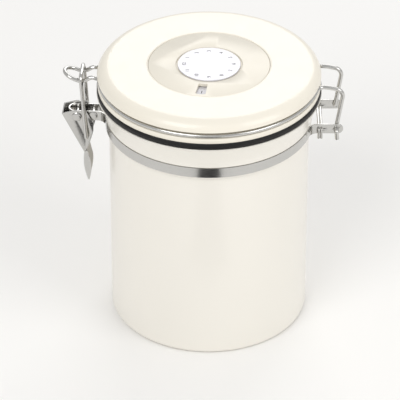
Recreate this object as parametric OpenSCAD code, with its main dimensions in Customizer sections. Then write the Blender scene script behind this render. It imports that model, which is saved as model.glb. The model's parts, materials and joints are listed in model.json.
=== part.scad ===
// Coffee canister with a clamp lid, a turning date dial and a one-way valve under the lid.
// Millimetres. Origin at the middle of the base, +Z up, hinge at +X, latch near -X, front at -Y.

/* [Body] */
// Outside radius of the straight wall
body_r = 62; // [56:0.5:64]
// Height of the rim above the base
rim_z = 156.7; // [150:0.1:157]
// Outside radius of the rim
rim_r = 69.3; // [67:0.1:72]
// Thickness of the sheet that the wall is drawn from
wall_t = 0.8; // [0.5:0.1:1.2]
// Outside radius of the bottom edge
foot_edge_r = 3; // [2:0.5:5]
// Radius where the turned-in foot ends
foot_in_r = 57.9; // [50:0.1:58]
// Thickness of the base plate
base_t = 0.8; // [0.6:0.1:1.6]
// Outside radius of the neck under the band
neck_r = 63.5; // [63:0.1:64]
// Outside radius of the ledge over the band
ledge_r = 64; // [63.6:0.1:64.4]
// Height of that ledge
ledge_h = 1.3; // [0.6:0.1:2]

/* [Band] */
// Height of the band's lower edge
band_z = 134; // [130:0.5:136]
// Width of the band
band_w = 6.5; // [5:0.5:7]
// Thickness of the band
band_t = 0.8; // [0.6:0.1:1]
// Clearance between the neck and the band
band_gap = 0.05; // [0.02:0.01:0.2]
// Radius of the bends where the band turns out into its ears
ear_bend_r = 6; // [4:0.5:9]
// Half the distance between the hinge ears, at mid thickness
hinge_ear_y = 14.3; // [13.8:0.1:18]
// Reach of the hinge ears past the hinge line
hinge_ear_tip = 4.2; // [3.4:0.1:6]
// Half the distance between the two sides of the latch ear, at mid thickness
latch_ear_y = 4.3; // [3.5:0.1:4.4]
// Distance of the latch ear's nose from the axis of the body
latch_nose_r = 87.2; // [86:0.1:87.3]

/* [Band tie] */
// Diameter of the tie's wire
tie_d = 1.6; // [1.2:0.1:2]
// Distance of the tie from the axis of the body
tie_x = 68.3; // [68:0.1:70]
// Length of the tie's turned-down ends
tie_tail = 6; // [3:0.5:8]

/* [Hinge] */
// Distance of the hinge line from the axis of the body
hinge_x = 78.3; // [76:0.1:80]
// Height of the hinge line
hinge_z = 137.2; // [136:0.1:138]
// Running clearance round the wire ends, on the radius
hinge_gap = 0.05; // [0.02:0.01:0.1]

/* [Lid] */
// Outside radius of the lid cover
cover_r = 69; // [68.6:0.1:70]
// Height of the top of the lid
top_z = 175; // [174:0.1:178]
// Radius of the lid cover's shoulder
shoulder_r = 7.5; // [6.5:0.1:9]
// Height of the lid cover's lower edge
cover_z = 168.7; // [168.2:0.1:169.5]
// Thickness of the lid's sheet
lid_t = 0.8; // [0.6:0.1:0.9]
// Outside radius of the flange
flange_r = 68.7; // [68.2:0.1:69.2]
// Height of the flange's lower face
flange_z = 161; // [160.5:0.1:161.5]
// Height of the flange
flange_h = 3.3; // [2.5:0.1:3.4]
// Outside radius of the plug that goes into the mouth
plug_r = 58; // [50:0.5:58.5]
// Height of the plug's floor
plug_z = 149; // [148:0.5:152]
// Gap between the rim and the gasket
seal_gap = 0.3; // [0.2:0.05:0.5]
// Outside radius of the gasket
gasket_r = 69.1; // [68.8:0.1:69.3]

/* [Lid wire] */
// Diameter of the lid wire
wire_d = 2.6; // [2:0.1:2.8]
// Radius of the ring at the middle of the wire
wire_ring_r = 67.5; // [67.4:0.1:68]
// Height of the ring at the middle of the wire
wire_z = 165.9; // [165.7:0.1:166.4]
// Half the distance between the hinge arms
arm_y = 12.35; // [11:0.05:12.4]
// Reach of the arms' elbow from the axis of the body
elbow_x = 82.4; // [80:0.1:84]
// Height where the arms turn down
elbow_z = 163.6; // [160:0.1:165]
// Length of the front end that is turned down beside its ear
wire_tail = 5.6; // [4:0.1:7]

/* [Catch] */
// Half the distance between the two strands of the catch
catch_y = 6.1; // [5:0.1:6.2]
// Height of the strands where the bail lies over them
catch_z = 163.2; // [162.8:0.1:163.4]
// Distance from the axis of the body where the strands start to climb
catch_rise_r = 79.5; // [79:0.1:81]
// Distance of the tip from the axis of the body
catch_tip_r = 90.3; // [88:0.1:92]
// Height of the tip
catch_tip_z = 166.8; // [166:0.1:167.5]

/* [Latch] */
// Turn of the latch from the point opposite the hinge
latch_turn = 4; // [0:0.5:8]
// Distance of the lever's pivot from the axis of the body
fulcrum_r = 81.56; // [81.5:0.01:81.7]
// Height of the lever's pivot
fulcrum_z = 137.3; // [137.1:0.1:137.5]
// Diameter of the rivet shanks
rivet_d = 3; // [2.4:0.1:3.4]
// Diameter of the rivet heads
rivet_head_d = 6; // [5:0.1:6.2]
// Distance of the ear's own rivet from the axis of the body
ear_rivet_r = 71.7; // [71.2:0.1:72.2]
// Half the inside width of the lever
lever_in_y = 5.45; // [5.3:0.05:5.6]
// Thickness of the lever's sheet
lever_t = 0.9; // [0.7:0.1:1]
// Height of the lever's lower end
lever_tip_z = 87.5; // [84:0.5:92]
// Height where the side plates end and the thumb leaf starts
leaf_top_z = 112.5; // [111:0.5:114]
// Fold of the thumb leaf's sides towards the body
leaf_fold = 4.6; // [2:0.1:6]

/* [Bail] */
// Diameter of the bail's wire
bail_d = 2.5; // [2:0.1:2.6]
// Half the distance between the bail's legs
bail_leg_y = 8.9; // [8.8:0.05:10]
// Distance of the bail's pivot from the axis of the body
bail_pivot_r = 75.75; // [75.5:0.05:76.5]
// Height of the bail's pivot
bail_pivot_z = 123; // [122:0.1:124]
// Distance of the crossbar from the axis of the body
bail_bar_r = 78.4; // [78:0.1:79]
// Height of the crossbar
bail_bar_z = 167.3; // [167.2:0.1:168]
// Running clearance at the lever's and the bail's pivots, on the radius
pivot_gap = 0.05; // [0.02:0.01:0.1]

/* [Dial] */
// Radius of the date ring
date_ring_r = 37.3; // [36:0.1:38]
// Thickness of the date ring
date_ring_t = 1.9; // [1.6:0.1:2.1]
// Gap round the date ring
dial_gap = 0.25; // [0.2:0.05:0.4]
// Thickness of the well's wall
well_t = 0.7; // [0.6:0.1:1]
// Radius of the recess for the month disc
recess_r = 20.5; // [20:0.1:21]
// Radius of the month disc
month_disc_r = 19.3; // [18.6:0.1:19.4]
// Radius of the hub that the date ring turns on
hub_r = 18; // [16:0.1:18.2]
// Radius of the month disc's stem
stem_r = 5; // [4:0.1:6]
// Running clearance of the dial's bearings, on the radius
dial_fit = 0.05; // [0.02:0.01:0.1]
// Inner end of the window, from the middle of the dial
window_in = 23.3; // [22:0.1:26]
// Outer end of the window, from the middle of the dial
window_out = 35.4; // [33:0.1:36]
// Width of the window
window_w = 6.4; // [4:0.1:8]
// Turn of the window from the front towards the latch
window_turn = 9; // [-30:1:30]

/* [Valve] */
// Radius of the valve's neck
valve_neck_r = 9; // [7:0.1:11]
// Radius of the valve's flange
valve_flange_r = 13; // [11.5:0.1:15]
// Thickness of the valve's flange
valve_flange_t = 1.2; // [0.8:0.1:2]
// Radius of the valve disc
valve_disc_r = 6.2; // [5.5:0.1:6.6]
// Thickness of the valve disc
valve_disc_t = 0.9; // [0.6:0.1:1.2]
// Lift of the valve disc
valve_lift = 0.8; // [0.4:0.1:1]
// Number of holes in the valve's seat
valve_holes = 6; // [4:1:8]

/* [Hidden] */
$fn = 96;
eps = 0.01;

band_in_r = neck_r + band_gap;
band_mid_r = band_in_r + band_t / 2;
band_top = band_z + band_w;
band_mid_z = band_z + band_w / 2;
neck_z0 = band_z - 1.4;
ledge_z0 = band_top + 0.4;
collar_z0 = ledge_z0 + ledge_h;
flange_top = flange_z + flange_h;
groove_r = wire_ring_r - wire_d / 2 - 0.2;
pan_lip_z = cover_z + 1.8;
gasket_z = rim_z + seal_gap;
well_out_r = date_ring_r + dial_gap + well_t;
ring_z0 = top_z - date_ring_t;
day_gap = 0.4;
day_t = 1.2;
day_top = ring_z0 - day_gap;
well_floor_z = day_top - day_t;
well_base_z = well_floor_z - lid_t;
ring_step_z = ring_z0 + 0.8;
hub_top = ring_step_z - 0.15;
disc_t = 1;
disc_z0 = top_z + 0.1 - disc_t;
screw_r = 1.5;
screw_head_t = 1;
screw_gap = 0.2;
lever_out_y = lever_in_y + lever_t;
ear_out_y = latch_ear_y + band_t / 2;
wire_r = wire_d / 2;
bail_r = bail_d / 2;
tube_play = 0.02;
tube_sides = 12;
valve_seat_t = 1;
valve_bore_r = valve_disc_r + 0.5;

// Helpers for vectors, arcs and bent wires
function unit(v) = v / norm(v);
function arc(cx, cz, r, a0, a1, n) =
    [for (i = [0:n]) let (a = a0 + (a1 - a0) * i / n) [cx + r * cos(a), cz + r * sin(a)]];
function corner(a, p, b, r, n) =
    let (u = unit(a - p), v = unit(b - p), half = acos(u * v) / 2,
        c = p + unit(u + v) * r / sin(half),
        ra = unit(p + u * r / tan(half) - c), rb = unit(p + v * r / tan(half) - c),
        w = 180 - 2 * half)
    [for (i = [0:n]) c + r * (sin(w * (1 - i / n)) * ra + sin(w * i / n) * rb) / sin(w)];
function bent(p, r, n = 8) = concat([p[0]],
    [for (i = [1:len(p) - 2]) each corner(p[i - 1], p[i], p[i + 1], r[i - 1], n)],
    [p[len(p) - 1]]);
function tangents(p) = let (m = len(p) - 1)
    [for (i = [0:m]) unit(p[min(i + 1, m)] - p[max(i - 1, 0)])];
function square_to(v, t) = unit(v - (v * t) * t);
function normals(t, first) = let (m = len(t))
    [for (i = 0, n = square_to(first, t[0]); i < m;
        i = i + 1, n = square_to(n, t[min(i, m - 1)])) n];

// Round wire along the points of a path
module wire(path, r, first = [0, 0.1, 1], sides = tube_sides) {
    m = len(path);
    t = tangents(path);
    n = normals(t, first);
    points = [for (i = [0:m - 1]) let (b = cross(t[i], n[i])) for (j = [0:sides - 1])
        path[i] + r * (cos(360 * j / sides) * n[i] + sin(360 * j / sides) * b)];
    sides_faces = [for (i = [0:m - 2]) for (j = [0:sides - 1]) let (k = (j + 1) % sides,
        p = i * sides, q = p + sides) each [[p + j, q + j, q + k], [p + j, q + k, p + k]]];
    first_cap = [for (j = [0:sides - 1]) j];
    last_cap = [for (j = [sides - 1:-1:0]) (m - 1) * sides + j];
    polyhedron(points, concat(sides_faces, [first_cap, last_cap]), convexity = 6);
}

// Turns a child from the (out, across, up) frame of the latch into place
module at_latch() {
    rotate([0, 0, 180 - latch_turn]) children();
}

// Round bar across the latch or the hinge, from y0 to y1
module cross_bar(x, z, r, y0, y1) {
    translate([x, y1, z]) rotate([90, 0, 0]) cylinder(h = y1 - y0, r = r);
}

// Body: a drawn wall with a neck for the band and a flared collar, and a base plate
function collar(r0, z0, r1, z1, n = 14) =
    [for (i = [0:n]) let (s = i / n) [r0 + (r1 - r0) * pow(s, 1.35), z0 + (z1 - z0) * s]];

module body_shell() {
    outer = concat([[foot_in_r, 0]],
        arc(body_r - foot_edge_r, foot_edge_r, foot_edge_r, -90, 0, 10),
        [[body_r, neck_z0 - 1.2], [neck_r, neck_z0], [neck_r, ledge_z0 - 0.2], [ledge_r, ledge_z0]],
        collar(ledge_r, collar_z0, rim_r, rim_z));
    inner = concat(
        [for (p = collar(rim_r - wall_t, rim_z, ledge_r - wall_t, collar_z0)) p],
        [[ledge_r - wall_t, ledge_z0], [neck_r - wall_t, ledge_z0 - 0.2], [neck_r - wall_t, neck_z0],
            [body_r - wall_t, neck_z0 - 1.2]],
        arc(body_r - foot_edge_r, foot_edge_r, foot_edge_r - wall_t, 0, -90, 10),
        [[foot_in_r, wall_t]]);
    color("ivory") rotate_extrude($fn = 180) polygon(concat(outer, rim_side(inner)));
}

// The inner wall of the collar runs parallel to the outer one
function rim_side(p) = let (n = 14) concat(
    [for (i = [0:n]) let (q = collar(ledge_r, collar_z0, rim_r, rim_z)[n - i]) [q[0] - wall_t, q[1]]],
    [for (i = [n + 1:len(p) - 1]) p[i]]);

module base_plate() {
    color("ivory") union() {
        cylinder(h = wall_t + eps, r = foot_in_r - 0.05, $fn = 180);
        translate([0, 0, wall_t]) cylinder(h = base_t, r = body_r - foot_edge_r, $fn = 180);
    }
}

// Neck band: a steel strip whose ends turn out into two hinge ears, with a folded latch ear opposite
function ear_x(y) = sqrt(pow(band_mid_r + ear_bend_r, 2) - pow(y + ear_bend_r, 2));
function ear_angle(y) = atan2(y + ear_bend_r, ear_x(y));

function rest(p) = [for (i = [1:len(p) - 1]) p[i]];
function back_to_front(p) = [for (i = [len(p) - 1:-1:0]) p[i]];
function flipped(p) = [for (q = p) [q[0], -q[1]]];
function turned(p, a) = [for (q = p) [q[0] * cos(a) - q[1] * sin(a), q[0] * sin(a) + q[1] * cos(a)]];
function steps(cx, cy, r, a0, a1, step) = arc(cx, cy, r, a0, a1, ceil(abs(a1 - a0) / step));

// Middle line of an ear's upper side, from its end to where its bend meets the ring
function ear_line(y, x_end) =
    concat([[x_end, y]], steps(ear_x(y), y + ear_bend_r, ear_bend_r, 270, 180 + ear_angle(y), 8));

// Middle line of the latch ear, from the ring out to its nose and back
function latch_ear_line(x_end) = let (side = ear_line(latch_ear_y, x_end))
    concat(back_to_front(flipped(side)), rest(steps(x_end, 0, latch_ear_y, -90, 90, 10)), rest(side));

module neck_band() {
    hinge_a = ear_angle(hinge_ear_y);
    latch_a = ear_angle(latch_ear_y);
    latch_at = 180 - latch_turn;
    ear_end = hinge_x + hinge_ear_tip;
    hinge_side = ear_line(hinge_ear_y, ear_end);
    line = concat(hinge_side, rest(steps(0, 0, band_mid_r, hinge_a, latch_at - latch_a, 2)),
        rest(turned(latch_ear_line(latch_nose_r - band_t / 2 - latch_ear_y), latch_at)),
        rest(steps(0, 0, band_mid_r, latch_at + latch_a, 360 - hinge_a, 2)),
        rest(back_to_front(flipped(hinge_side))));
    t = tangents(line);
    color("silver") difference() {
        translate([0, 0, band_z]) linear_extrude(band_w) polygon(concat(
            [for (i = [0:len(line) - 1]) line[i] + band_t / 2 * [t[i][1], -t[i][0]]],
            [for (i = [len(line) - 1:-1:0]) line[i] - band_t / 2 * [t[i][1], -t[i][0]]]));
        for (s = [-1, 1]) difference() {
            translate([ear_end - band_w / 2, s * hinge_ear_y - 2, band_z - 1]) cube([band_w, 4, band_w + 2]);
            cross_bar(ear_end - band_w / 2, band_mid_z, band_w / 2, s * hinge_ear_y - 3, s * hinge_ear_y + 3);
        }
        cross_bar(hinge_x, hinge_z, wire_r + hinge_gap, -hinge_ear_y - 2, hinge_ear_y + 2);
        tie_slot();
        at_latch() {
            cross_bar(fulcrum_r, fulcrum_z, rivet_d / 2 + pivot_gap, -ear_out_y - 1, ear_out_y + 1);
            cross_bar(ear_rivet_r, band_mid_z, rivet_d / 2 + pivot_gap, -ear_out_y - 1, ear_out_y + 1);
        }
    }
}

// Slot through both hinge ears for the two strands of the tie
module tie_slot() {
    slot_r = tie_d / 2 + 0.1;
    half = tie_d / 2 + 0.05;
    for (s = [-1, 1])
        cross_bar(tie_x + s * half, band_mid_z, slot_r, -hinge_ear_y - 2, hinge_ear_y + 2);
    translate([tie_x - half, -hinge_ear_y - 2, band_mid_z - slot_r])
        cube([2 * half, 2 * hinge_ear_y + 4, 2 * slot_r]);
}

// Band tie: a hairpin through both hinge ears, with its ends turned down in front
module band_tie() {
    half = tie_d / 2 + 0.05;
    y_end = hinge_ear_y + band_t / 2 + tie_d / 2 + 0.35;
    z = band_mid_z;
    path = bent([[tie_x - half, -y_end, z - tie_tail], [tie_x - half, -y_end, z], [tie_x - half, y_end, z],
        [tie_x + half, y_end, z], [tie_x + half, -y_end, z], [tie_x + half, -y_end, z - tie_tail]],
        [1, half - eps, half - eps, 1], 6);
    color("gainsboro") wire(path, tie_d / 2, [1, 0.1, 0]);
}

// Rivets: one closes the latch ear, the other is the lever's pivot
module rivet(x, z, y_head, head_t) {
    cross_bar(x, z, rivet_d / 2, -y_head - eps, y_head + eps);
    for (s = [0, 1]) mirror([0, s, 0]) translate([x, y_head, z]) rotate([-90, 0, 0])
        rotate_extrude($fn = 48) polygon([[0, 0], [rivet_head_d / 2, 0], [rivet_head_d / 2, 0.35 * head_t],
            [0.85 * rivet_head_d / 2, 0.75 * head_t], [0.5 * rivet_head_d / 2, head_t], [0, head_t]]);
}

module ear_rivet() {
    color("silver") at_latch() rivet(ear_rivet_r, band_mid_z, ear_out_y, 0.55);
}

module lever_rivet() {
    color("silver") at_latch() rivet(fulcrum_r, fulcrum_z, lever_out_y + 0.1, 0.9);
}

// Lid cover: the domed top plate with a round opening for the dial
module lid_cover() {
    c = cover_r - shoulder_r;
    cz = top_z - shoulder_r;
    in_r = shoulder_r - lid_t;
    low = asin((cover_z - cz) / shoulder_r);
    low_in = asin((cover_z + lid_t - cz) / in_r);
    profile = concat([[groove_r + 0.05, cover_z]], arc(c, cz, shoulder_r, low, 90, 16),
        [[well_out_r + 0.05, top_z], [well_out_r + 0.05, top_z - lid_t]],
        arc(c, cz, in_r, 90, low_in, 16), [[groove_r + 0.05, cover_z + lid_t]]);
    color("ivory") rotate_extrude($fn = 180) polygon(profile);
}

// Lid pan: one pressed sheet with the plug, the flange and the groove for the wire
module lid_pan() {
    t = lid_t;
    profile = [[valve_neck_r + 0.05, plug_z], [plug_r, plug_z], [plug_r, flange_z], [flange_r, flange_z],
        [flange_r, flange_top], [groove_r, flange_top], [groove_r, pan_lip_z], [groove_r - t, pan_lip_z],
        [groove_r - t, flange_top - t], [flange_r - t, flange_top - t], [flange_r - t, flange_z + t],
        [plug_r - t, flange_z + t], [plug_r - t, plug_z + t], [valve_neck_r + 0.05, plug_z + t]];
    color("ivory") rotate_extrude($fn = 180) polygon(profile);
}

// Gasket: a soft ring round the plug, pressed on the rim
module lid_gasket() {
    color("black") rotate_extrude($fn = 180) polygon([[plug_r + 0.05, gasket_z + 0.6],
        [plug_r + 0.65, gasket_z], [gasket_r - 0.5, gasket_z], [gasket_r, gasket_z + 0.5],
        [gasket_r, flange_z - 0.5], [gasket_r - 0.5, flange_z], [plug_r + 0.05, flange_z]]);
}

// Lid wire: a ring in the lid's groove, drawn out into a catch loop and two hinge arms
module lid_wire() {
    bend = 5;
    arm_a = asin((arm_y + bend) / (wire_ring_r + bend));
    catch_a = asin((catch_y + bend) / (wire_ring_r + bend));
    r = wire_r - tube_play;
    color("silver") union() {
        for (s = [1, -1]) {
            a0 = s > 0 ? arm_a : 180 - latch_turn + catch_a;
            a1 = s > 0 ? 180 - latch_turn - catch_a : 360 - arm_a;
            rotate([0, 0, a0]) rotate_extrude(angle = a1 - a0, $fn = 180)
                translate([wire_ring_r, wire_z]) circle(r = wire_r, $fn = 32);
        }
        for (s = [1, -1]) hinge_arm(s, arm_a, bend, r);
        at_latch() catch_loop(catch_a, bend, r);
        cross_bar(hinge_x, hinge_z, wire_r, arm_y, hinge_ear_y + band_t / 2 + 1);
        cross_bar(hinge_x, hinge_z, wire_r, -hinge_ear_y - band_t / 2 - 1.3, -arm_y);
        wire_end_tail(r);
    }
}

// Points on the ring and round the bend where a strand leaves it, on the side s
function leave_ring(a, y, bend, s, n = 6) = let (x = (wire_ring_r + bend) * cos(a), c = y + bend)
    concat([for (d = [2, 0]) [wire_ring_r * cos(a + d), s * wire_ring_r * sin(a + d), wire_z]],
        [for (i = [1:n]) let (w = 180 + a + (90 - a) * i / n) [x + bend * cos(w), s * (c + bend * sin(w)), wire_z]]);

module hinge_arm(s, a, bend, r) {
    y = s * arm_y;
    x0 = (wire_ring_r + bend) * cos(a);
    down = bent([[x0, y, wire_z], [x0 + 3, y, wire_z - 0.3], [elbow_x, y, elbow_z], [hinge_x, y, hinge_z],
        [hinge_x, y + s * (wire_r + 0.6), hinge_z]], [3, 5, wire_r + 0.1], 8);
    wire(concat(leave_ring(a, arm_y, bend, s), [for (i = [1:len(down) - 1]) down[i]]), r, [0.1, 0, 1]);
}

module catch_loop(a, bend, r) {
    x0 = (wire_ring_r + bend) * cos(a);
    tip_x = catch_tip_r - wire_r - catch_y;
    slope = (catch_tip_z - catch_z) / (catch_tip_r - wire_r - catch_rise_r);
    side = [[x0, catch_y, wire_z], [x0 + 1.5, catch_y, wire_z - 0.4],
        [catch_rise_r - 3, catch_y, catch_z], [catch_rise_r, catch_y, catch_z],
        [tip_x, catch_y, catch_z + slope * (tip_x - catch_rise_r)]];
    half = concat(leave_ring(a, catch_y, bend, 1), bent(side, [3, 8, 6], 5));
    nose = [for (w = [75:-15:-75]) let (x = tip_x + catch_y * cos(w))
        [x, catch_y * sin(w), catch_z + slope * (x - catch_rise_r)]];
    back = [for (i = [len(half) - 1:-1:0]) [half[i][0], -half[i][1], half[i][2]]];
    wire(concat(half, nose, back), r, [0.1, 0, 1]);
}

// The front end of the wire, turned down in front of its ear
module wire_end_tail(r) {
    y = -hinge_ear_y - band_t / 2 - 0.3;
    wire(bent([[hinge_x, y, hinge_z], [hinge_x, y - 2.3, hinge_z], [hinge_x + 0.5, y - 2.3, hinge_z - wire_tail]],
        [wire_r + 0.1], 8), r, [0, 0.1, 1]);
}

// Dial: a well in the lid, a printed day ring, a turning date ring with a window, a month disc
module dial_well() {
    in_r = date_ring_r + dial_gap;
    color("ivory") rotate_extrude($fn = 180) polygon([[stem_r + dial_fit, well_base_z], [well_out_r, well_base_z],
        [well_out_r, top_z], [in_r, top_z], [in_r, well_floor_z], [hub_r, well_floor_z], [hub_r, hub_top],
        [stem_r + dial_fit, hub_top]]);
}

module day_ring() {
    color("gainsboro") translate([0, 0, well_floor_z]) difference() {
        cylinder(h = day_t, r = date_ring_r - 0.3, $fn = 180);
        translate([0, 0, -1]) cylinder(h = day_t + 2, r = hub_r + 0.3, $fn = 180);
    }
}

module date_ring() {
    c = 0.25;
    profile = [[hub_r + dial_fit, ring_z0], [date_ring_r, ring_z0], [date_ring_r, top_z - c],
        [date_ring_r - c, top_z], [recess_r + c, top_z], [recess_r, top_z - c], [recess_r, ring_step_z],
        [hub_r + dial_fit, ring_step_z]];
    color("ivory") difference() {
        rotate_extrude($fn = 180) polygon(profile);
        rotate([0, 0, -90 - window_turn]) translate([0, 0, ring_z0 - 1]) linear_extrude(date_ring_t + 2)
            window_2d();
    }
}

// The window is a slot that widens outwards and ends in a shallow curve
module window_2d() {
    w0 = 0.42 * window_w;
    w1 = 0.5 * window_w;
    r = 0.9 * window_w;
    depth = r - sqrt(r * r - w1 * w1);
    tip = arc(window_out - r, 0, r, -asin(w1 / r), asin(w1 / r), 10);
    polygon(concat([[window_in, w0], [window_in, -w0], [window_out - depth, -w1]], tip));
}

module month_disc() {
    c = 0.2;
    color("lightgray") difference() {
        rotate_extrude($fn = 180) polygon([[0, well_base_z], [stem_r, well_base_z], [stem_r, disc_z0],
            [month_disc_r - c, disc_z0], [month_disc_r, disc_z0 + c], [month_disc_r, top_z + 0.1 - c],
            [month_disc_r - c, top_z + 0.1], [0, top_z + 0.1]]);
        translate([0, 0, well_base_z - 1]) cylinder(h = disc_z0 - well_base_z + 0.6, r = screw_r + 0.05, $fn = 48);
    }
}

module dial_screw() {
    z = well_base_z - screw_gap;
    color("silver") difference() {
        union() {
            translate([0, 0, z - screw_head_t]) cylinder(h = screw_head_t, r = stem_r + 1.4, $fn = 64);
            translate([0, 0, z - eps]) cylinder(h = disc_z0 - well_base_z - 0.6, r = screw_r, $fn = 48);
        }
        translate([-stem_r, -0.5, z - screw_head_t - 1]) cube([2 * stem_r, 1, 1.5]);
    }
}

// Valve: a housing in the floor of the plug, with a filter below and a disc that lifts to let gas out
module valve_housing() {
    z = plug_z - valve_flange_t;
    top = plug_z + lid_t + 4.2;
    color("whitesmoke") difference() {
        rotate_extrude($fn = 96) polygon([[0, z], [valve_flange_r, z], [valve_flange_r, plug_z],
            [valve_neck_r, plug_z], [valve_neck_r, top], [valve_bore_r, top], [valve_bore_r, z + 2.6],
            [0, z + 2.6]]);
        translate([0, 0, z - 1]) cylinder(h = 2.6 - valve_seat_t + 1, r = valve_bore_r, $fn = 64);
        for (i = [0:valve_holes - 1]) rotate([0, 0, 360 * i / valve_holes])
            translate([0.55 * valve_disc_r, 0, z]) cylinder(h = 4, r = 1, $fn = 24);
    }
}

module valve_filter() {
    color("white") translate([0, 0, plug_z - valve_flange_t + 0.2])
        cylinder(h = 2.6 - valve_seat_t - 0.2, r = valve_bore_r - 0.05, $fn = 64);
}

module valve_disc() {
    z = plug_z - valve_flange_t + 2.6;
    color("dimgray") translate([0, 0, z + 0.05]) cylinder(h = valve_disc_t, r = valve_disc_r, $fn = 64);
}

// The nut holds the housing in the floor and has the bridge that keeps the disc in
module valve_nut() {
    z = plug_z + lid_t;
    stop_z = plug_z - valve_flange_t + 2.6 + 0.05 + valve_disc_t + valve_lift + 0.3;
    top = plug_z + lid_t + 4.2;
    color("whitesmoke") difference() {
        rotate_extrude($fn = 96) polygon([[valve_neck_r + 0.05, z], [valve_neck_r + 3, z],
            [valve_neck_r + 3, top + 0.2], [valve_neck_r + 2, top + 1.2], [0, top + 1.2], [0, stop_z],
            [2.5, stop_z], [3, top + 0.05], [valve_neck_r + 0.05, top + 0.05]]);
        for (i = [0:3]) rotate([0, 0, 45 + 90 * i]) translate([5.2, 0, top - 1])
            cylinder(h = 4, r = 1.3, $fn = 24);
    }
}

// Lever: two side plates and a spine folded from one sheet, ending in a dished thumb leaf
plate_top = [[90.9, 139.05], [83.2, 141.4], [76.1, 141.7]];
plate_back = [[71.4, 132.8], [71.6, 127], [74.1, 117.9], [77.1, 111.6]];
spine_a = plate_top[0];
spine_g = [77.4, 111.1];
spine_dir = unit(spine_g - spine_a);
spine_in = [spine_dir[1], -spine_dir[0]] * lever_t;

module side_plate() {
    difference() {
        translate([0, lever_out_y, 0]) rotate([90, 0, 0]) linear_extrude(lever_t)
            polygon(concat(plate_top, plate_back, [spine_g]));
        cross_bar(fulcrum_r, fulcrum_z, rivet_d / 2 + pivot_gap, lever_in_y - 1, lever_out_y + 1);
        cross_bar(bail_pivot_r, bail_pivot_z, bail_r + pivot_gap, lever_in_y - 1, lever_out_y + 1);
    }
}

module latch_lever() {
    color("silver") at_latch() {
        for (m = [0, 1]) mirror([0, m, 0]) side_plate();
        translate([0, lever_out_y - eps, 0]) rotate([90, 0, 0]) linear_extrude(2 * (lever_out_y - eps))
            polygon([spine_a, spine_a + spine_in, spine_g + spine_in, spine_g]);
        thumb_leaf();
    }
}

// Half width, reach and fold of the leaf at a share s of its length, from its top
function leaf_w(s) = lever_out_y * (s < 0.35 ? 1 - 0.08 * sin(180 * s / 0.35)
    : sqrt(max(0.01, 1 - pow((s - 0.35) / 0.66, 2.2))));
function leaf_r(s) = 77.65 + 1.25 * sin(180 * min(1, s / 0.95)) - 1.1 * pow(s, 3);
function leaf_d(s) = leaf_fold * pow(sin(180 * (0.06 + 0.88 * s)), 0.8) * leaf_w(s) / lever_out_y;

module thumb_leaf() {
    rows = 16;
    cols = 10;
    height = leaf_top_z - lever_tip_z;
    points = [for (side = [0, 1]) for (i = [0:rows]) for (j = [0:cols])
        let (s = i / rows, v = 2 * j / cols - 1, z = leaf_top_z - height * s)
        [leaf_r(s) - leaf_d(s) * v * v - side * lever_t, leaf_w(s) * v, z]];
    w = cols + 1;
    m = (rows + 1) * w;
    out = [for (i = [0:rows - 1]) for (j = [0:cols - 1]) let (p = i * w + j)
        each [[p, p + w + 1, p + w], [p, p + 1, p + w + 1]]];
    back = [for (f = out) [f[2] + m, f[1] + m, f[0] + m]];
    ends = [for (j = [0:cols - 1]) for (i = [0, rows]) let (p = i * w + j, q = p + 1)
        each i == 0 ? [[q, p, q + m], [q + m, p, p + m]] : [[p, q, p + m], [q + m, p + m, q]]];
    edges = [for (i = [0:rows - 1]) for (j = [0, cols]) let (p = i * w + j, q = p + w)
        each j == 0 ? [[p, q, p + m], [q + m, p + m, q]] : [[q, p, q + m], [p + m, q + m, p]]];
    polyhedron(points, concat(out, back, ends, edges), convexity = 6);
}

// Bail: a wire loop on the lever that goes over the catch
module latch_bail() {
    r = bail_r - tube_play;
    y0 = lever_out_y + 0.25;
    half = [[bail_pivot_r, y0, bail_pivot_z], [bail_pivot_r, bail_leg_y, bail_pivot_z],
        [bail_bar_r, bail_leg_y, bail_bar_z]];
    path = bent(concat(half, [for (i = [2:-1:0]) [half[i][0], -half[i][1], half[i][2]]]),
        [bail_r + 0.1, 3.5, 3.5, bail_r + 0.1], 8);
    color("silver") at_latch() union() {
        wire(path, r, [0.1, 0, 1]);
        for (m = [0, 1]) mirror([0, m, 0])
            cross_bar(bail_pivot_r, bail_pivot_z, bail_r, lever_in_y - 0.8, lever_out_y + 0.6);
    }
}

body_shell();
base_plate();
neck_band();
band_tie();
ear_rivet();
lever_rivet();
lid_cover();
lid_pan();
lid_gasket();
lid_wire();
dial_well();
day_ring();
date_ring();
month_disc();
dial_screw();
valve_housing();
valve_filter();
valve_disc();
valve_nut();
latch_lever();
latch_bail();
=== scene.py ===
"""Coffee canister: the finished look of a painted steel jar with a clamp lid, wire latch and date dial."""
import json
import math

import bmesh
import bpy
from bpy.props import FloatProperty, FloatVectorProperty, IntProperty, PointerProperty
from mathutils import Matrix, Vector


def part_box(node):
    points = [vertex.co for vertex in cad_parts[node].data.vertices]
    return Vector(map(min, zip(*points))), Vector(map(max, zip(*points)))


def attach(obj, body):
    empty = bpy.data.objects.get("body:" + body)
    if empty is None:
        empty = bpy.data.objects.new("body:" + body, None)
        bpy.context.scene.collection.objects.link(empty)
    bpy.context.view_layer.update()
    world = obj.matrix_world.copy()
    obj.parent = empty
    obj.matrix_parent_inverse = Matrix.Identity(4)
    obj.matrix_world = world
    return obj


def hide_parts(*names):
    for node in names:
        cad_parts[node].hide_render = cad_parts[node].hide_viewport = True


bl_info = {
    "name": "Coffee canister",
    "version": (1, 0, 0),
    "blender": (4, 5, 0),
    "location": "3D View > Sidebar > Canister",
    "description": "Makes the finished pieces of a coffee canister round its packed solids",
    "category": "Object",
}

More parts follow.
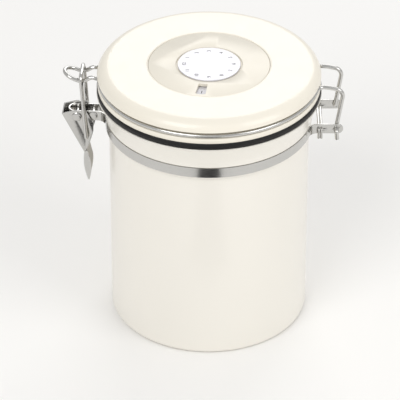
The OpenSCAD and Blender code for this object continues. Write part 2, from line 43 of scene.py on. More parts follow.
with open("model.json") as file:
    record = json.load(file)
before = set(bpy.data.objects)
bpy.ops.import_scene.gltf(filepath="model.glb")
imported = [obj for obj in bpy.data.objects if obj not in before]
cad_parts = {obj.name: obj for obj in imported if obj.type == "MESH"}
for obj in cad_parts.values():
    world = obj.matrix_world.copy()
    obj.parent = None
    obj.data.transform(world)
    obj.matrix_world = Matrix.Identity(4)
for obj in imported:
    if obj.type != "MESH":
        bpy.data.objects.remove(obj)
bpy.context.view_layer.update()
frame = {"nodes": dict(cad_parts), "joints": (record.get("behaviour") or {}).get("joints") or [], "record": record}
MM = 0.001
JOINTS = {j["name"]: j for j in frame["joints"]}


# Colours

def linear(hex_colour):
    """The linear colour that an sRGB hex value stands for."""
    parts = [int(hex_colour[i:i + 2], 16) / 255 for i in (1, 3, 5)]
    return tuple(c / 12.92 if c <= 0.04045 else ((c + 0.055) / 1.055) ** 2.4 for c in parts)


def rgba(colour):
    """The colour with full opacity."""
    return (*colour, 1.0)


def colour_prop(label, text, hex_colour):
    """A colour setting whose default is given as sRGB hex."""
    return FloatVectorProperty(name=label, description=text, subtype="COLOR", size=3, min=0, max=1,
                               default=linear(hex_colour))


def size_prop(label, text, millimetres):
    """A length setting whose default is given in millimetres."""
    return FloatProperty(name=label, description=text, subtype="DISTANCE", unit="LENGTH", min=0,
                         default=millimetres * MM)


class CanisterColours(bpy.types.PropertyGroup):
    """Colours of the canister's finishes."""
    body: colour_prop("Body", "Paint on the body", "#f1ede4")
    lid: colour_prop("Lid", "Paint on the lid", "#f2ecde")
    steel: colour_prop("Steel", "Polished stainless steel", "#c9c8c5")
    wire: colour_prop("Wire", "Drawn steel wire", "#cfcecb")
    rubber: colour_prop("Rubber", "Sealing ring", "#0d0c0c")
    dial: colour_prop("Dial", "Moulded dial ring", "#f1ebdd")
    label: colour_prop("Label", "Silver label of the month disc", "#dcdbe0")
    ink: colour_prop("Ink", "Printed numbers", "#1b1a1c")
    valve: colour_prop("Valve", "Moulded valve housing", "#ecebe8")
    felt: colour_prop("Felt", "Filter under the valve", "#e9e6df")
    floor: colour_prop("Floor", "Studio floor", "#f6f5f3")


class CanisterSizes(bpy.types.PropertyGroup):
    """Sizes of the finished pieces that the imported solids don't give."""
    wire: size_prop("Lid wire", "Diameter of the lid wire", 2.6)
    bail: size_prop("Bail wire", "Diameter of the bail's wire", 2.5)
    tie: size_prop("Tie wire", "Diameter of the band tie's wire", 1.6)
    month_text: size_prop("Month numbers", "Height of the month numbers", 3.4)
    day_text: size_prop("Day numbers", "Height of the day numbers", 4.4)
    turns: IntProperty(name="Turning steps", description="Steps round a turned piece", min=24, max=512,
                       default=192)


# Small helpers for node trees

def add_node(tree, kind, inputs=None, **settings):
    """Adds a node, sets its settings, and sets or links its inputs by name or number."""
    node = tree.nodes.new(kind)
    for key, value in settings.items():
        setattr(node, key, value)
    for key, value in (inputs or {}).items():
        if isinstance(value, bpy.types.NodeSocket):
            tree.links.new(value, node.inputs[key])
        else:
            node.inputs[key].default_value = value
    return node


def new_material(name):
    """An empty material with its surface shader, its tree and its object coordinates."""
    material = bpy.data.materials.new(name)
    material.use_nodes = True
    tree = material.node_tree
    tree.nodes.clear()
    shader = add_node(tree, "ShaderNodeBsdfPrincipled")
    add_node(tree, "ShaderNodeOutputMaterial", {"Surface": shader.outputs["BSDF"]})
    place = add_node(tree, "ShaderNodeTexCoord").outputs["Object"]
    return material, tree, shader, place


def noise(tree, place, size_mm, detail=2.0):
    """Noise whose grains are about size_mm across."""
    return add_node(tree, "ShaderNodeTexNoise",
                    {"Vector": place, "Scale": 1 / (size_mm * MM), "Detail": detail}).outputs["Fac"]


def spread(tree, value, low, high):
    """Maps the middle of a noise to a range."""
    return add_node(tree, "ShaderNodeMapRange",
                    {"Value": value, "From Min": 0.3, "From Max": 0.7, "To Min": low, "To Max": high}
                    ).outputs["Result"]


def mixed(tree, fac, colour, share):
    """A colour that varies between itself and a slightly darker share of itself."""
    dark = tuple(c * share for c in colour)
    return add_node(tree, "ShaderNodeMix", {0: fac, 6: rgba(dark), 7: rgba(colour)},
                    data_type="RGBA").outputs[2]


def bump(tree, height, depth_mm):
    """Surface relief of the given depth."""
    return add_node(tree, "ShaderNodeBump",
                    {"Height": height, "Distance": depth_mm * MM, "Strength": 1.0}).outputs["Normal"]


# Materials

def baked_enamel(name, colour):
    """Steel with a sprayed and baked enamel: a smooth pale coat with a faint orange peel and a soft gloss."""
    material, tree, shader, place = new_material(name)
    peel = noise(tree, place, 2.2, 1.0)
    cloud = noise(tree, place, 28, 2.0)
    shader.inputs["Metallic"].default_value = 0
    shader.inputs["IOR"].default_value = 1.5
    shader.inputs["Coat Weight"].default_value = 0.35
    shader.inputs["Coat Roughness"].default_value = 0.12
    tree.links.new(mixed(tree, cloud, colour, 0.985), shader.inputs["Base Color"])
    tree.links.new(spread(tree, noise(tree, place, 9, 3.0), 0.3, 0.38), shader.inputs["Roughness"])
    tree.links.new(bump(tree, peel, 0.012), shader.inputs["Normal"])
    return material


def polished_sheet(name, colour):
    """Stainless strip with a polished face: fine rolling lines along it, small hairline scratches."""
    material, tree, shader, place = new_material(name)
    stretched = add_node(tree, "ShaderNodeMapping", {"Vector": place, "Scale": (0.06, 0.06, 1.0)}).outputs[0]
    lines = noise(tree, stretched, 0.35, 3.0)
    haze = noise(tree, place, 6, 3.0)
    shader.inputs["Metallic"].default_value = 1
    tree.links.new(mixed(tree, haze, colour, 0.94), shader.inputs["Base Color"])
    tree.links.new(spread(tree, lines, 0.12, 0.24), shader.inputs["Roughness"])
    tree.links.new(bump(tree, lines, 0.004), shader.inputs["Normal"])
    return material


def drawn_wire(name, colour):
    """Stainless wire, drawn and tumbled: bright, with faint cloudy wear."""
    material, tree, shader, place = new_material(name)
    haze = noise(tree, place, 3, 4.0)
    shader.inputs["Metallic"].default_value = 1
    tree.links.new(mixed(tree, haze, colour, 0.92), shader.inputs["Base Color"])
    tree.links.new(spread(tree, noise(tree, place, 0.8, 3.0), 0.12, 0.22), shader.inputs["Roughness"])
    tree.links.new(bump(tree, noise(tree, place, 0.5, 2.0), 0.003), shader.inputs["Normal"])
    return material


def silicone_rubber(name, colour):
    """Moulded silicone: nearly black, matt, with a faint dusty bloom."""
    material, tree, shader, place = new_material(name)
    shader.inputs["IOR"].default_value = 1.42
    tree.links.new(mixed(tree, noise(tree, place, 4, 3.0), colour, 0.6), shader.inputs["Base Color"])
    tree.links.new(spread(tree, noise(tree, place, 2, 2.0), 0.45, 0.6), shader.inputs["Roughness"])
    tree.links.new(bump(tree, noise(tree, place, 0.4, 2.0), 0.01), shader.inputs["Normal"])
    return material


def moulded_abs(name, colour, grain_mm=0.5):
    """Moulded ABS with a fine spark-eroded grain: satin, a little deeper in its hollows."""
    material, tree, shader, place = new_material(name)
    shader.inputs["IOR"].default_value = 1.53
    tree.links.new(mixed(tree, noise(tree, place, 12, 3.0), colour, 0.975), shader.inputs["Base Color"])
    tree.links.new(spread(tree, noise(tree, place, 3, 3.0), 0.36, 0.46), shader.inputs["Roughness"])
    tree.links.new(bump(tree, noise(tree, place, grain_mm, 2.0), 0.01), shader.inputs["Normal"])
    return material


def brushed_foil(name, colour):
    """Silver foil label, brushed one way under a clear film."""
    material, tree, shader, place = new_material(name)
    stretched = add_node(tree, "ShaderNodeMapping", {"Vector": place, "Scale": (0.08, 1.0, 1.0)}).outputs[0]
    lines = noise(tree, stretched, 0.3, 3.0)
    shader.inputs["Metallic"].default_value = 0.35
    shader.inputs["Coat Weight"].default_value = 0.3
    shader.inputs["Coat Roughness"].default_value = 0.2
    tree.links.new(mixed(tree, lines, colour, 0.9), shader.inputs["Base Color"])
    tree.links.new(spread(tree, lines, 0.32, 0.46), shader.inputs["Roughness"])
    return material


def printed_ink(name, colour):
    """Screen-printed ink: dark, slightly broken in density."""
    material, tree, shader, place = new_material(name)
    tree.links.new(mixed(tree, noise(tree, place, 0.6, 3.0), colour, 0.6), shader.inputs["Base Color"])
    tree.links.new(spread(tree, noise(tree, place, 1.2, 2.0), 0.4, 0.55), shader.inputs["Roughness"])
    return material


def pressed_felt(name, colour):
    """Pressed fibre felt: matt, mottled, with a soft nap."""
    material, tree, shader, place = new_material(name)
    shader.inputs["Sheen Weight"].default_value = 0.3
    tree.links.new(mixed(tree, noise(tree, place, 0.5, 4.0), colour, 0.8), shader.inputs["Base Color"])
    tree.links.new(spread(tree, noise(tree, place, 1, 2.0), 0.85, 0.95), shader.inputs["Roughness"])
    tree.links.new(bump(tree, noise(tree, place, 0.3, 4.0), 0.08), shader.inputs["Normal"])
    return material


FINISHES = {
    "body_paint": (baked_enamel, "body"),
    "lid_paint": (baked_enamel, "lid"),
    "band_steel": (polished_sheet, "steel"),
    "wire_steel": (drawn_wire, "wire"),
    "seal_rubber": (silicone_rubber, "rubber"),
    "dial_plastic": (moulded_abs, "dial"),
    "label_plastic": (brushed_foil, "label"),
    "ink": (printed_ink, "ink"),
    "valve_plastic": (moulded_abs, "valve"),
    "valve_rubber": (silicone_rubber, "rubber"),
    "filter_felt": (pressed_felt, "felt"),
}
made_materials = {}


def finish_of(slot):
    """The material of a slot, made when it is first asked for."""
    if slot not in made_materials:
        make, colour = FINISHES[slot]
        made_materials[slot] = make(slot, tuple(getattr(bpy.context.scene.canister_colours, colour)))
    return made_materials[slot]


NODE_SLOT = {s["node"]: s["material_slot"] for s in frame["record"]["subparts"]}
NODE_BODY = {n: body for body, names in frame["record"]["behaviour"]["bodies"].items() for n in names}


# Geometry helpers

def unit_arc(centre, radius, start, end, steps):
    """Points of an arc in the plane of r and z, angles in degrees."""
    turns = [math.radians(start + (end - start) * i / steps) for i in range(steps + 1)]
    return [(centre[0] + radius * math.cos(a), centre[1] + radius * math.sin(a)) for a in turns]


def corner(before, at, after, radius, steps):
    """Points of the arc that rounds one corner of a path."""
    to_before, to_after = (before - at).normalized(), (after - at).normalized()
    half = to_before.angle(to_after) / 2
    middle = at + (to_before + to_after).normalized() * radius / math.sin(half)
    a = (at + to_before * radius / math.tan(half) - middle).normalized()
    b = (at + to_after * radius / math.tan(half) - middle).normalized()
    turn = math.pi - 2 * half
    return [middle + radius * (math.sin(turn * (1 - i / steps)) * a + math.sin(turn * i / steps) * b)
            / math.sin(turn) for i in range(steps + 1)]


def bent(points, radii, steps=10):
    """A path with its inner corners rounded."""
    path = [points[0]]
    for i, radius in enumerate(radii, 1):
        path += corner(points[i - 1], points[i], points[i + 1], radius, steps)
    return path + [points[-1]]


def add_piece(name, mesh, slot, body, replaced=()):
    """Links a finished mesh as a piece that rides on a body and stands for some CAD nodes."""
    obj = bpy.data.objects.new(name, mesh)
    bpy.context.scene.collection.objects.link(obj)
    mesh.materials.clear()
    mesh.materials.append(finish_of(slot))
    if replaced:
        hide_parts(*replaced)
    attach(obj, body)
    return obj


def smooth(mesh, angle):
    """Shades a mesh smooth, with edges sharper than the angle in degrees left sharp."""
    mesh.shade_smooth()
    mesh.set_sharp_from_angle(angle=math.radians(angle))


def bake_modifiers(obj):
    """Applies an object's modifiers to its mesh."""
    graph = bpy.context.evaluated_depsgraph_get()
    done = bpy.data.meshes.new_from_object(obj.evaluated_get(graph))
    obj.modifiers.clear()
    return done


def turned(name, outline_mm, slot, body, replaced=()):
    """A piece turned round the upright axis from a closed outline in r and z."""
    steps = bpy.context.scene.canister_sizes.turns
    bm = bmesh.new()
    rings = []
    for i in range(steps):
        a = 2 * math.pi * i / steps
        rings.append([bm.verts.new((r * MM * math.cos(a), r * MM * math.sin(a), z * MM))
                      for r, z in outline_mm])
    count = len(outline_mm)
    for i in range(steps):
        here, there = rings[i], rings[(i + 1) % steps]
        for j in range(count):
            k = (j + 1) % count
            if outline_mm[j][0] > 1e-6 or outline_mm[k][0] > 1e-6:
                bm.faces.new((here[j], there[j], there[k], here[k]))
    bmesh.ops.remove_doubles(bm, verts=bm.verts, dist=1e-7)
    bmesh.ops.dissolve_degenerate(bm, edges=bm.edges, dist=1e-8)
    bmesh.ops.recalc_face_normals(bm, faces=bm.faces)
    mesh = bpy.data.meshes.new(name)
    bm.to_mesh(mesh)
    bm.free()
    smooth(mesh, 50)
    return add_piece(name, mesh, slot, body, replaced)


def dressed(name, node, edge_mm=0.0, angle=30):
    """A copy of a CAD node with merged, smooth faces and eased edges, in place of the node."""
    bm = bmesh.new()
    bm.from_mesh(frame["nodes"][node].data)
    bmesh.ops.remove_doubles(bm, verts=bm.verts, dist=2e-7)
    bmesh.ops.dissolve_limit(bm, angle_limit=math.radians(0.5), verts=bm.verts, edges=bm.edges)
    mesh = bpy.data.meshes.new(name)
    bm.to_mesh(mesh)
    bm.free()
    if edge_mm:
        obj = bpy.data.objects.new(name + "_raw", mesh)
        bpy.context.scene.collection.objects.link(obj)
        bevel = obj.modifiers.new("edge", "BEVEL")
        bevel.width = edge_mm * MM
        bevel.segments = 2
        bevel.angle_limit = math.radians(50)
        mesh = bake_modifiers(obj)
        mesh.name = name
        bpy.data.objects.remove(obj)
    smooth(mesh, angle)
    return add_piece(name, mesh, NODE_SLOT[node], NODE_BODY[node], (node,))


def context_size(key):
    """One of the canister's sizes, in metres."""
    return getattr(bpy.context.scene.canister_sizes, key)


# Wires: a tree that sweeps a round section along a path

def wire_tree():
    """Geometry Nodes tree that turns the edges of a path into a round wire."""
    tree = bpy.data.node_groups.get("wire_along_path")
    if tree:
        return tree
    tree = bpy.data.node_groups.new("wire_along_path", "GeometryNodeTree")
    tree.interface.new_socket("Geometry", in_out="INPUT", socket_type="NodeSocketGeometry")
    tree.interface.new_socket("Diameter", in_out="INPUT", socket_type="NodeSocketFloat")
    tree.interface.new_socket("Sides", in_out="INPUT", socket_type="NodeSocketInt")
    tree.interface.new_socket("Material", in_out="INPUT", socket_type="NodeSocketMaterial")
    tree.interface.new_socket("Geometry", in_out="OUTPUT", socket_type="NodeSocketGeometry")
    given = add_node(tree, "NodeGroupInput")
    half = add_node(tree, "ShaderNodeMath", {0: given.outputs["Diameter"], 1: 0.5}, operation="MULTIPLY")
    path = add_node(tree, "GeometryNodeMeshToCurve", {"Mesh": given.outputs["Geometry"]})
    section = add_node(tree, "GeometryNodeCurvePrimitiveCircle",
                       {"Resolution": given.outputs["Sides"], "Radius": half.outputs[0]})
    sweep = add_node(tree, "GeometryNodeCurveToMesh",
                     {"Curve": path.outputs[0], "Profile Curve": section.outputs[0], "Fill Caps": True})
    real = add_node(tree, "GeometryNodeRealizeInstances", {"Geometry": sweep.outputs[0]})
    coated = add_node(tree, "GeometryNodeSetMaterial",
                      {"Geometry": real.outputs[0], "Material": given.outputs["Material"]})
    add_node(tree, "NodeGroupOutput", {"Geometry": coated.outputs[0]})
    return tree


def set_input(modifier, tree, label, value):
    """Sets the modifier's input of that name."""
    socket = next(s for s in tree.interface.items_tree if s.name == label and s.in_out == "INPUT")
    modifier[socket.identifier] = value


def wire_piece(name, paths, diameter, slot, body, replaced, sides=24):
    """A wire along one or more paths, made by the wire tree."""
    points, edges = [], []
    for path in paths:
        edges += [(len(points) + i, len(points) + i + 1) for i in range(len(path) - 1)]
        points += [tuple(p * MM) for p in path]
    mesh = bpy.data.meshes.new(name + "_path")
    mesh.from_pydata(points, edges, [])
    obj = bpy.data.objects.new(name + "_path", mesh)
    bpy.context.scene.collection.objects.link(obj)
    tree = wire_tree()
    modifier = obj.modifiers.new("wire", "NODES")
    modifier.node_group = tree
    set_input(modifier, tree, "Diameter", diameter)
    set_input(modifier, tree, "Sides", sides)
    set_input(modifier, tree, "Material", finish_of(slot))
    done = bake_modifiers(obj)
    bpy.data.objects.remove(obj)
    done.name = name
    smooth(done, 50)
    return add_piece(name, done, slot, body, replaced)


# Places shared by several pieces, in millimetres, from the joints

HINGE = Vector(JOINTS["lid_hinge"]["pos_m"]) / MM
FULCRUM = Vector(JOINTS["lever_turn"]["pos_m"]) / MM
BAIL_PIVOT = Vector(JOINTS["bail_turn"]["pos_m"]) / MM
LATCH_TURN = math.atan2(FULCRUM.y, -FULCRUM.x)


def latch_point(out, across, up):
    """A point given by its distance out from the canister's axis, across the latch, and up."""
    c, s = math.cos(LATCH_TURN), math.sin(LATCH_TURN)
    return Vector((-out * c + across * s, out * s + across * c, up))


def reach(point):
    """Distance of a point from the canister's axis."""
    return math.hypot(point.x, point.y)


# Pieces

def body_outline():
    """Wall, neck, ledge and flared collar of the body."""
    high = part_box("body_shell")[1]
    top = high.z / MM
    rim = high.x / MM
    wall, foot, foot_in, body_r, neck_r, ledge_r = 0.8, 3.0, 57.9, 62.0, 63.5, 64.0
    neck_z, ledge_z, collar_z = 132.6, 140.9, 142.2
    neck_slope, ledge_slope, rim_edge, flare_power = 1.2, 0.2, 0.35, 1.35

    def flare(offset, steps=18):
        """Line of the collar, drawn in from its outer face by the offset."""
        return [(ledge_r + (rim - ledge_r) * (i / steps) ** flare_power - offset,
                 collar_z + (top - collar_z) * i / steps) for i in range(steps + 1)]

    outer = unit_arc((body_r - foot, foot), foot, -90, 0, 10)
    outer += [(body_r, neck_z - neck_slope), (neck_r, neck_z), (neck_r, ledge_z - ledge_slope),
              (ledge_r, ledge_z)]
    outer += flare(0)[:-1] + [(rim, top - rim_edge), (rim - rim_edge, top)]
    inner = [(rim - wall, top)] + flare(wall)[-2::-1]
    inner += [(ledge_r - wall, ledge_z), (neck_r - wall, ledge_z - ledge_slope), (neck_r - wall, neck_z),
              (body_r - wall, neck_z - neck_slope)]
    inner += unit_arc((body_r - foot, foot), foot - wall, 0, -90, 8)
    return [(foot_in, 0)] + outer + inner + [(foot_in, wall)]


class CANISTER_OT_body(bpy.types.Operator):
    """Make the painted body and its base plate"""
    bl_idname = "canister.body"
    bl_label = "Body"

    def execute(self, context):
        turned("body_wall", body_outline(), "body_paint", "canister", ("body_shell",))
        dressed("bottom_plate", "base_plate", 0.2)
        return {"FINISHED"}


class CANISTER_OT_band(bpy.types.Operator):
    """Make the neck band with its ears, its tie and its rivets"""
    bl_idname = "canister.band"
    bl_label = "Neck band"

    def execute(self, context):
        dressed("band_strip", "neck_band", 0.12, 28)
        dressed("ear_rivet_head", "ear_rivet", 0.0, 40)
        dressed("lever_rivet_head", "lever_rivet", 0.0, 40)
        tie_path()
        return {"FINISHED"}


def tie_path():
    """Hairpin wire through both hinge ears."""
    low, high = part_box("band_tie")
    d = context_size("tie") / MM
    half = (high.x - low.x) / MM / 2 - d / 2
    x = (high.x + low.x) / MM / 2
    y = high.y / MM - d / 2
    z = high.z / MM - d / 2
    tail = low.z / MM
    tail_bend, turn_bend = 1, half - 0.01
    path = bent([Vector((x - half, -y, tail)), Vector((x - half, -y, z)), Vector((x - half, y, z)),
                 Vector((x + half, y, z)), Vector((x + half, -y, z)), Vector((x + half, -y, tail))],
                [tail_bend, turn_bend, turn_bend, tail_bend], 8)
    wire_piece("tie_wire", [path], context_size("tie"), "wire_steel", "canister", ("band_tie",))


class CANISTER_OT_lid(bpy.types.Operator):
    """Make the painted lid cover, the pan under it and the sealing ring"""
    bl_idname = "canister.lid"
    bl_label = "Lid"

    def execute(self, context):
        dressed("cover_plate", "lid_cover", 0.0, 40)
        dressed("pan_pressing", "lid_pan", 0.25, 40)
        dressed("sealing_ring", "lid_gasket", 0.0, 60)
        return {"FINISHED"}


# The lid wire, in millimetres: its ring, the bends where strands leave it, and the strands' places
RING_R = 67.5
RING_Z = 165.9
LEAVE_BEND = 5.0
ARM_Y = 12.35
CATCH_Y = 6.1


def leave_ring(across):
    """Angle at which a strand across the ring leaves it, and where its bend starts to run straight."""
    a = math.asin((across + LEAVE_BEND) / (RING_R + LEAVE_BEND))
    return a, (RING_R + LEAVE_BEND) * math.cos(a)


def ring_to_strand(across, side, steps=10):
    """Bend from the ring into a straight strand, in a frame whose x points out along the strand."""
    a, x = leave_ring(across)
    turns = [math.pi + a + (math.pi / 2 - a) * i / steps for i in range(steps + 1)]
    return [Vector((x + LEAVE_BEND * math.cos(w),
                    side * (across + LEAVE_BEND + LEAVE_BEND * math.sin(w)), RING_Z)) for w in turns]


def hinge_arm_points(side):
    """Arm from the ring out over the hinge, down to it, and out through its ear."""
    y = side * ARM_Y
    x0 = leave_ring(ARM_Y)[1]
    dip_out, dip, elbow_x, elbow_z = 3, 0.3, 82.4, 163.6
    end_y, tail_y, tail_lean, tail_drop = 15.7, 17.3, 0.5, 5.6
    dip_bend, elbow_bend, hook_bend, steps = 3, 5, 1.4, 12
    corners = [Vector((x0, y, RING_Z)), Vector((x0 + dip_out, y, RING_Z - dip)),
               Vector((elbow_x, y, elbow_z)), Vector((HINGE.x, y, HINGE.z))]
    if side > 0:
        corners += [Vector((HINGE.x, end_y, HINGE.z))]
        return bent(corners, [dip_bend, elbow_bend, hook_bend], steps)
    corners += [Vector((HINGE.x, -tail_y, HINGE.z)),
                Vector((HINGE.x + tail_lean, -tail_y, HINGE.z - tail_drop))]
    return bent(corners, [dip_bend, elbow_bend, hook_bend, hook_bend], steps)


def catch_points():
    """Half of the catch loop, from the ring's bend to the nose, in the latch's frame."""
    x0 = leave_ring(CATCH_Y)[1]
    low, rise_r, tip_r, tip_z, half_wire = 163.2, 79.5, 90.3, 166.8, 1.3
    dip_out, dip, level, nose_steps = 1.5, 0.4, 3, 24
    slope = (tip_z - low) / (tip_r - half_wire - rise_r)
    nose_x = tip_r - half_wire - CATCH_Y

    def height(x):
        """Height of the rising part of a strand."""
        return low + slope * (x - rise_r)

    half = bent([Vector((x0, CATCH_Y, RING_Z)), Vector((x0 + dip_out, CATCH_Y, RING_Z - dip)),
                 Vector((rise_r - level, CATCH_Y, low)), Vector((rise_r, CATCH_Y, low)),
                 Vector((nose_x, CATCH_Y, height(nose_x)))], [3, 8, 6], 8)
    nose = []
    for i in range(1, nose_steps):
        w = math.pi / 2 - math.pi * i / nose_steps
        x = nose_x + CATCH_Y * math.cos(w)
        nose.append(Vector((x, CATCH_Y * math.sin(w), height(x))))
    return half, nose


class CANISTER_OT_lid_wire(bpy.types.Operator):
    """Bend the lid wire: hinge arms, ring and catch loop in one piece"""
    bl_idname = "canister.lid_wire"
    bl_label = "Lid wire"

    def execute(self, context):
        arm_a = leave_ring(ARM_Y)[0]
        catch_a = leave_ring(CATCH_Y)[0]
        latch = math.pi - LATCH_TURN
        half, nose = catch_points()
        out = ring_to_strand(CATCH_Y, 1)[:-1] + half
        back = [Vector((p.x, -p.y, p.z)) for p in reversed(out)]
        # The loop is drawn along +x, and is turned from there to the latch's side.
        turn = Matrix.Rotation(latch, 3, "Z")
        loop = [turn @ p for p in reversed(out + nose + back)]

        def ring(a0, a1, steps=90):
            """Part of the ring between two angles."""
            return [Vector((RING_R * math.cos(a0 + (a1 - a0) * i / steps),
                            RING_R * math.sin(a0 + (a1 - a0) * i / steps), RING_Z)) for i in range(steps + 1)]

        rear_arm = ring_to_strand(ARM_Y, 1)[:-1] + hinge_arm_points(1)
        front_arm = ring_to_strand(ARM_Y, -1)[:-1] + hinge_arm_points(-1)
        path = list(reversed(rear_arm)) + ring(arm_a, latch - catch_a)[1:-1] + loop
        path += ring(latch + catch_a, 2 * math.pi - arm_a)[1:-1] + front_arm
        wire_piece("clamp_wire", [path], context_size("wire"), "wire_steel", "lid", ("lid_wire",))
        return {"FINISHED"}


class CANISTER_OT_bail(bpy.types.Operator):
    """Bend the bail that goes over the catch"""
    bl_idname = "canister.bail"
    bl_label = "Bail"

    def execute(self, context):
        leg, bar_r, bar_z, inner, hook_bend, bar_bend = 8.9, 78.4, 167.3, 4.65, 1.35, 3.5
        pivot = reach(BAIL_PIVOT)
        half = [latch_point(pivot, inner, BAIL_PIVOT.z), latch_point(pivot, leg, BAIL_PIVOT.z),
                latch_point(bar_r, leg, bar_z)]
        other = [latch_point(bar_r, -leg, bar_z), latch_point(pivot, -leg, BAIL_PIVOT.z),
                 latch_point(pivot, -inner, BAIL_PIVOT.z)]
        path = bent(half + other, [hook_bend, bar_bend, bar_bend, hook_bend], 12)
        wire_piece("bail_wire", [path], context_size("bail"), "wire_steel", "bail", ("latch_bail",))
        return {"FINISHED"}


class CANISTER_OT_lever(bpy.types.Operator):
    """Make the latch lever"""
    bl_idname = "canister.lever"
    bl_label = "Lever"

    def execute(self, context):
        dressed("lever_sheet", "latch_lever", 0.15, 40)
        return {"FINISHED"}


def number_meshes(labels, radius, height, top, name, slot, body, upright, start, step):
    """Printed numbers round a circle, joined as one thin piece."""
    ink_depth = 0.03 * MM
    bm = bmesh.new()
    for i, label in enumerate(labels):
        a = start + step * i
        curve = bpy.data.curves.new(name + label, "FONT")
        curve.body = label
        curve.size = height
        curve.align_x = "CENTER"
        curve.align_y = "CENTER"
        curve.extrude = ink_depth
        text = bpy.data.objects.new(name + label, curve)
        bpy.context.scene.collection.objects.link(text)
        graph = bpy.context.evaluated_depsgraph_get()
        mesh = bpy.data.meshes.new_from_object(text.evaluated_get(graph))
        bpy.data.objects.remove(text)
        face = upright if upright is not None else a + math.pi / 2
        mesh.transform(Matrix.Translation((radius * math.cos(a), radius * math.sin(a), top))
                       @ Matrix.Rotation(face, 4, "Z"))
        bm.from_mesh(mesh)
    mesh = bpy.data.meshes.new(name)
    bmesh.ops.recalc_face_normals(bm, faces=bm.faces)
    bm.to_mesh(mesh)
    bm.free()
    return add_piece(name, mesh, slot, body)


class CANISTER_OT_dial(bpy.types.Operator):
    """Make the date dial with its numbers"""
    bl_idname = "canister.dial"
    bl_label = "Dial"

    def execute(self, context):
        dressed("dial_cup", "dial_well", 0.1, 40)
        dressed("window_ring", "date_ring", 0.0, 40)
        dressed("day_plate", "day_ring", 0.1, 40)
        dressed("month_plate", "month_disc", 0.0, 40)
        dressed("disc_screw", "dial_screw", 0.1, 40)
        sizes = context.scene.canister_sizes
        month_r, day_r, ink_lift = 15.2 * MM, 29.3 * MM, 0.02 * MM
        window_turn = math.radians(9)
        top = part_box("month_disc")[1].z + ink_lift
        number_meshes([str(n) for n in range(1, 13)], month_r, sizes.month_text, top, "month_numbers",
                      "ink", "month_dial", math.pi / 2, math.pi - math.pi / 6, -math.pi / 6)
        day_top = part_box("day_ring")[1].z + ink_lift
        number_meshes([str(n) for n in range(1, 32)], day_r, sizes.day_text, day_top, "day_numbers",
                      "ink", "lid", None, -math.pi / 2 - window_turn, 2 * math.pi / 31)
        return {"FINISHED"}


class CANISTER_OT_valve(bpy.types.Operator):
    """Finish the one-way valve under the lid"""
    bl_idname = "canister.valve"
    bl_label = "Valve"

    def execute(self, context):
        dressed("valve_body", "valve_housing", 0.15, 40)
        dressed("valve_felt", "valve_filter", 0.15, 40)
        dressed("valve_plate", "valve_disc", 0.15, 40)
        dressed("valve_ring_nut", "valve_nut", 0.15, 40)
        return {"FINISHED"}


# Stage

def lamp(name, place, target, size, power):
    """A white rectangular area lamp that looks at the target."""
    light = bpy.data.lights.new(name, "AREA")
    light.shape = "RECTANGLE"
    light.size, light.size_y = size
    light.energy = power
    obj = bpy.data.objects.new(name, light)
    bpy.context.scene.collection.objects.link(obj)
    obj.location = place
    obj.rotation_euler = (Vector(target) - Vector(place)).to_track_quat("-Z", "Y").to_euler()


def card(name, corners, colour):
    """A flat board that only reflections see."""
    mesh = bpy.data.meshes.new(name)
    mesh.from_pydata(corners, [], [tuple(range(len(corners)))])
    material, _, shader, _ = new_material(name)
    shader.inputs["Base Color"].default_value = rgba(linear(colour))
    shader.inputs["Roughness"].default_value = 1
    mesh.materials.append(material)
    obj = bpy.data.objects.new(name, mesh)
    bpy.context.scene.collection.objects.link(obj)
    obj.visible_camera = False
    obj.visible_diffuse = False
    obj.visible_shadow = False


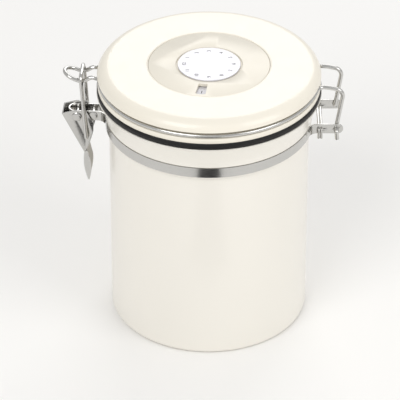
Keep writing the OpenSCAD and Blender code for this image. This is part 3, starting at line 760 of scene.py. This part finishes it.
class CANISTER_OT_stage(bpy.types.Operator):
    """Set up the floor, the lamps, the world and the camera"""
    bl_idname = "canister.stage"
    bl_label = "Stage"

    def execute(self, context):
        scene = context.scene
        scene.view_settings.view_transform = "Standard"
        colours = scene.canister_colours
        half, look_down = 4.0, 34
        mesh = bpy.data.meshes.new("floor")
        mesh.from_pydata([(-half, -half, 0), (half, -half, 0), (half, half, 0), (-half, half, 0)], [],
                         [(0, 1, 2, 3)])
        material, _, shader, _ = new_material("studio_floor")
        shader.inputs["Base Color"].default_value = rgba(tuple(colours.floor))
        shader.inputs["Roughness"].default_value = 0.9
        shader.inputs["Specular IOR Level"].default_value = 0.2
        mesh.materials.append(material)
        floor = bpy.data.objects.new("floor", mesh)
        scene.collection.objects.link(floor)

        camera = bpy.data.cameras.new("camera")
        camera.sensor_width = 36
        camera.lens = 269.7
        camera.clip_start, camera.clip_end = 0.05, 50
        eye = bpy.data.objects.new("camera", camera)
        eye.location = (-0.0056, -1.5679, 1.1321)
        eye.rotation_euler = (math.radians(90 - look_down), 0, 0)
        scene.collection.objects.link(eye)
        scene.camera = eye

        world = bpy.data.worlds.new("studio")
        world.use_nodes = True
        tree = world.node_tree
        tree.nodes.clear()
        back = add_node(tree, "ShaderNodeBackground", {"Color": rgba(linear("#ffffff")), "Strength": 0.62})
        add_node(tree, "ShaderNodeOutputWorld", {"Surface": back.outputs[0]})
        scene.world = world
        target = (0, 0, 0.1)
        lamp("key", (-0.7, -1.1, 1.3), target, (0.9, 0.9), 9)
        lamp("fill", (1.0, -0.7, 0.9), target, (0.8, 0.8), 5)
        lamp("rear", (0.2, 1.2, 1.0), target, (1.0, 0.6), 5)
        card("front_flag", [(-0.06, -0.45, 0.004), (0.06, -0.45, 0.004), (0.045, -0.14, 0.004),
                            (-0.045, -0.14, 0.004)], "#303030")
        return {"FINISHED"}


class CANISTER_PT_panel(bpy.types.Panel):
    """Lists the canister's pieces"""
    bl_label = "Canister"
    bl_idname = "CANISTER_PT_panel"
    bl_space_type = "VIEW_3D"
    bl_region_type = "UI"
    bl_category = "Canister"

    def draw(self, context):
        for operator in OPERATORS:
            self.layout.operator(operator.bl_idname)


OPERATORS = (CANISTER_OT_stage, CANISTER_OT_body, CANISTER_OT_band, CANISTER_OT_lid, CANISTER_OT_lid_wire,
             CANISTER_OT_dial, CANISTER_OT_valve, CANISTER_OT_lever, CANISTER_OT_bail)
CLASSES = (CanisterColours, CanisterSizes, *OPERATORS, CANISTER_PT_panel)


def register():
    for cls in CLASSES:
        bpy.utils.register_class(cls)
    bpy.types.Scene.canister_colours = PointerProperty(type=CanisterColours)
    bpy.types.Scene.canister_sizes = PointerProperty(type=CanisterSizes)


def unregister():
    del bpy.types.Scene.canister_sizes
    del bpy.types.Scene.canister_colours
    for cls in reversed(CLASSES):
        bpy.utils.unregister_class(cls)


def main():
    """Makes every piece."""
    register()
    for operator in OPERATORS:
        group, name = operator.bl_idname.split(".")
        getattr(getattr(bpy.ops, group), name)()


if __name__ == "__main__":
    main()
